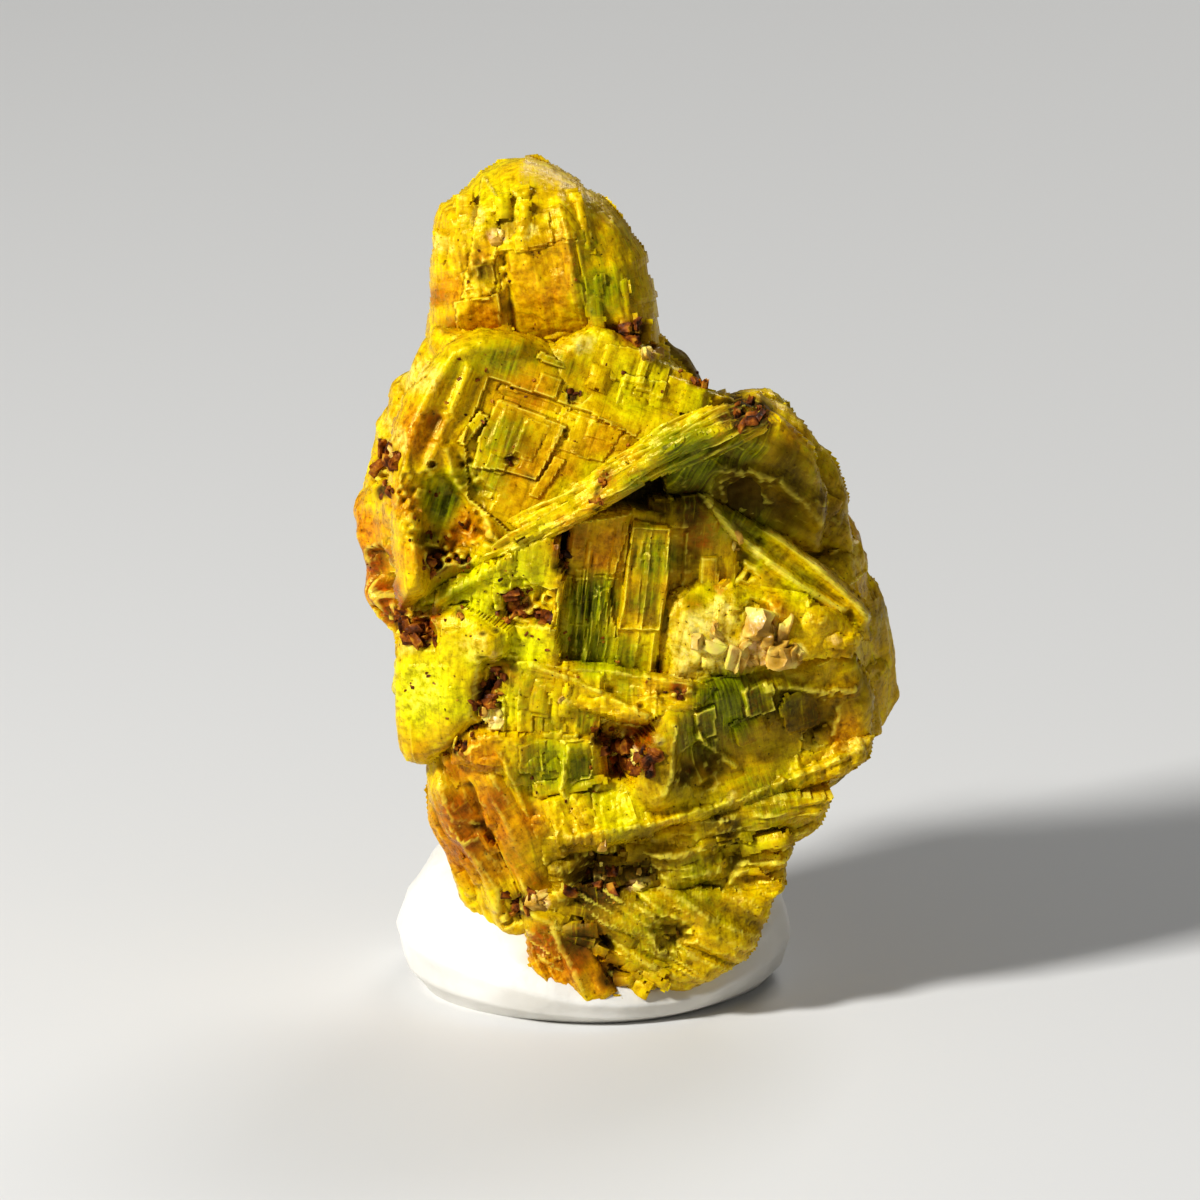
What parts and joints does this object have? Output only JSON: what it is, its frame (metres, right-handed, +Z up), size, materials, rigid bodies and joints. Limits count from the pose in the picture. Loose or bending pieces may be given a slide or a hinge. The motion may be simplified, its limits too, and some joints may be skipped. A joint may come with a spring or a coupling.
{
  "type": "mineral specimen",
  "caption": "Upright cluster of yellow-green tabular uranocircite crystals with stepped cleavage faces, held in a pressed lump of white putty.",
  "frame": {"origin": "centre of the putty's flat underside, where it rests", "axes": "+Z up along the standing cluster; the best face of the cluster looks along -Y; +X is to the right when that face is looked at"},
  "size_m": [0.0108, 0.0083, 0.0169],
  "materials": {
    "uranocircite": "pearly to vitreous cleavage faces, worn edges, orange-brown iron staining",
    "white_putty": "matt white mounting putty, pressed by hand"
  },
  "bodies": {
    "root": {"crystal_cluster": "uranocircite", "putty_base": "white_putty"}
  },
  "joints": []
}
